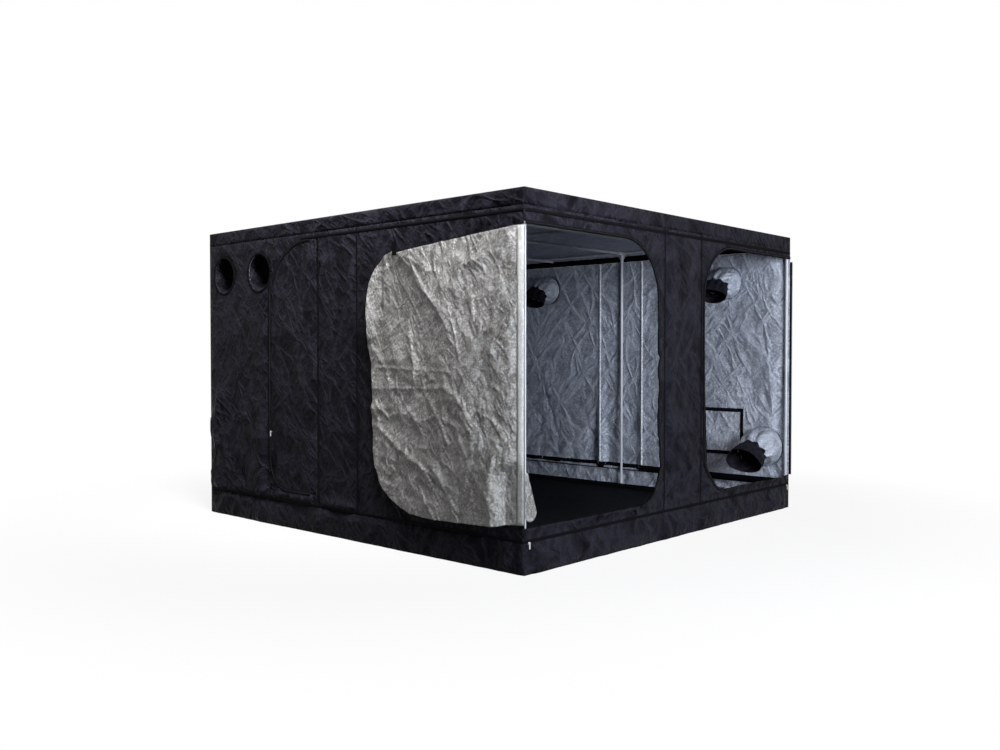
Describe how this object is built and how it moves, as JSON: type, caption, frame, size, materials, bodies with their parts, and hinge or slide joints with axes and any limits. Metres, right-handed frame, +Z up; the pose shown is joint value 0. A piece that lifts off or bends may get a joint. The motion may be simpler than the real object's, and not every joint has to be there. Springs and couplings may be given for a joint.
{
  "type": "indoor grow tent",
  "caption": "Square walk-in tent of black cloth with a silver lining over a socketed pole frame, with D-shaped zip doors, duct sleeves, a vent and hanging bars.",
  "frame": {"origin": "middle of the tent's underside, on the ground", "axes": "+Z up; the front wall with its two doorways faces -Y; the picture's left wall is at -X"},
  "size_m": [3.0741, 3.0147, 2],
  "materials": {
    "outer_cloth": "woven black cloth, slight sheen",
    "silver_lining": "silver coated cloth with a fine diamond emboss",
    "black_webbing": "matte woven tape and mesh",
    "floor_mat": "matte coated cloth",
    "pole_paint": "white powder coat",
    "fitting_plastic": "moulded, light grey",
    "zip_metal": "plated"
  },
  "bodies": {
    "root": {"back_wall": "outer_cloth", "base_corner_back_left": "fitting_plastic", "base_corner_back_right": "fitting_plastic", "base_corner_front_left": "fitting_plastic", "base_corner_front_right": "fitting_plastic", "base_rail_back": "pole_paint", "base_rail_front": "pole_paint", "base_rail_left": "pole_paint", "base_rail_right": "pole_paint", "base_tee_back": "fitting_plastic", "base_tee_front": "fitting_plastic", "base_tee_left": "fitting_plastic", "base_tee_right": "fitting_plastic", "base_tray": "outer_cloth", "ceiling_beam_back": "pole_paint", "ceiling_beam_cross": "pole_paint", "ceiling_beam_front": "pole_paint", "ceiling_hub": "fitting_plastic", "corner_light_flap": "silver_lining", "corner_post_back_left": "pole_paint", "corner_post_back_right": "pole_paint", "corner_post_front_left": "pole_paint", "corner_post_front_right": "pole_paint", "duct_sleeve_left_corner": "outer_cloth", "duct_sleeve_left_inner": "outer_cloth", "duct_sleeve_right_back": "silver_lining", "duct_sleeve_right_front": "silver_lining", "duct_sleeve_right_low": "silver_lining", "floor_mat": "floor_mat", "front_wall": "outer_cloth", "left_wall": "outer_cloth", "mid_post_back": "pole_paint", "mid_post_front": "pole_paint", "mid_post_left": "pole_paint", "mid_post_right": "pole_paint", "right_wall": "outer_cloth", "roof_cover": "outer_cloth", "top_corner_back_left": "fitting_plastic", "top_corner_back_right": "fitting_plastic", "top_corner_front_left": "fitting_plastic", "top_corner_front_right": "fitting_plastic", "top_rail_back": "pole_paint", "top_rail_front": "pole_paint", "top_rail_left": "pole_paint", "top_rail_right": "pole_paint", "top_tee_back": "fitting_plastic", "top_tee_front": "fitting_plastic", "top_tee_left": "fitting_plastic", "top_tee_right": "fitting_plastic", "vent_screen": "black_webbing"},
    "door_front_left": {"door_leaf_front_left": "silver_lining", "door_tie_strap": "black_webbing"},
    "door_front_right": {"door_leaf_front_right": "silver_lining"},
    "access_door": {"left_access_door": "outer_cloth"},
    "bar_front": {"hanging_bar_front": "pole_paint"},
    "bar_back": {"hanging_bar_back": "pole_paint"},
    "slider_front_left": {"zip_slider_front_left": "zip_metal"},
    "slider_front_right": {"zip_slider_front_right": "zip_metal"},
    "slider_left": {"zip_slider_left": "zip_metal"},
    "vent_flap": {"vent_flap": "silver_lining"}
  },
  "joints": [
    {"name": "front_left_door_swing", "type": "hinge", "parent": "root", "child": "door_front_left", "pos_m": [-1.512, -1.512, 1], "axis": [0, 0, 1], "range_deg": [0, 270]},
    {"name": "front_right_door_swing", "type": "hinge", "parent": "root", "child": "door_front_right", "pos_m": [1.512, -1.512, 1], "axis": [0, 0, 1], "range_deg": [-270, 0]},
    {"name": "access_door_swing", "type": "hinge", "parent": "root", "child": "access_door", "pos_m": [-1.5, 0.244, 1], "axis": [0, 0, 1], "range_deg": [0, 165]},
    {"name": "front_bar_slide", "type": "slide", "parent": "root", "child": "bar_front", "axis": [0, 1, 0], "range_m": [-0.55, 0.55]},
    {"name": "back_bar_slide", "type": "slide", "parent": "root", "child": "bar_back", "axis": [0, 1, 0], "range_m": [-0.55, 0.55]},
    {"name": "front_left_zip", "type": "slide", "parent": "root", "child": "slider_front_left", "axis": [1, 0, 0], "range_m": [0, 0.96]},
    {"name": "front_right_zip", "type": "slide", "parent": "root", "child": "slider_front_right", "axis": [1, 0, 0], "range_m": [-0.96, 0]},
    {"name": "access_zip", "type": "slide", "parent": "access_door", "child": "slider_left", "axis": [0, 0, 1], "range_m": [-0.12, 0.78]},
    {"name": "vent_flap_lift", "type": "hinge", "parent": "root", "child": "vent_flap", "pos_m": [1.4957, -0.885, 0.72], "axis": [0, 1, 0], "range_deg": [0, 90]}
  ]
}
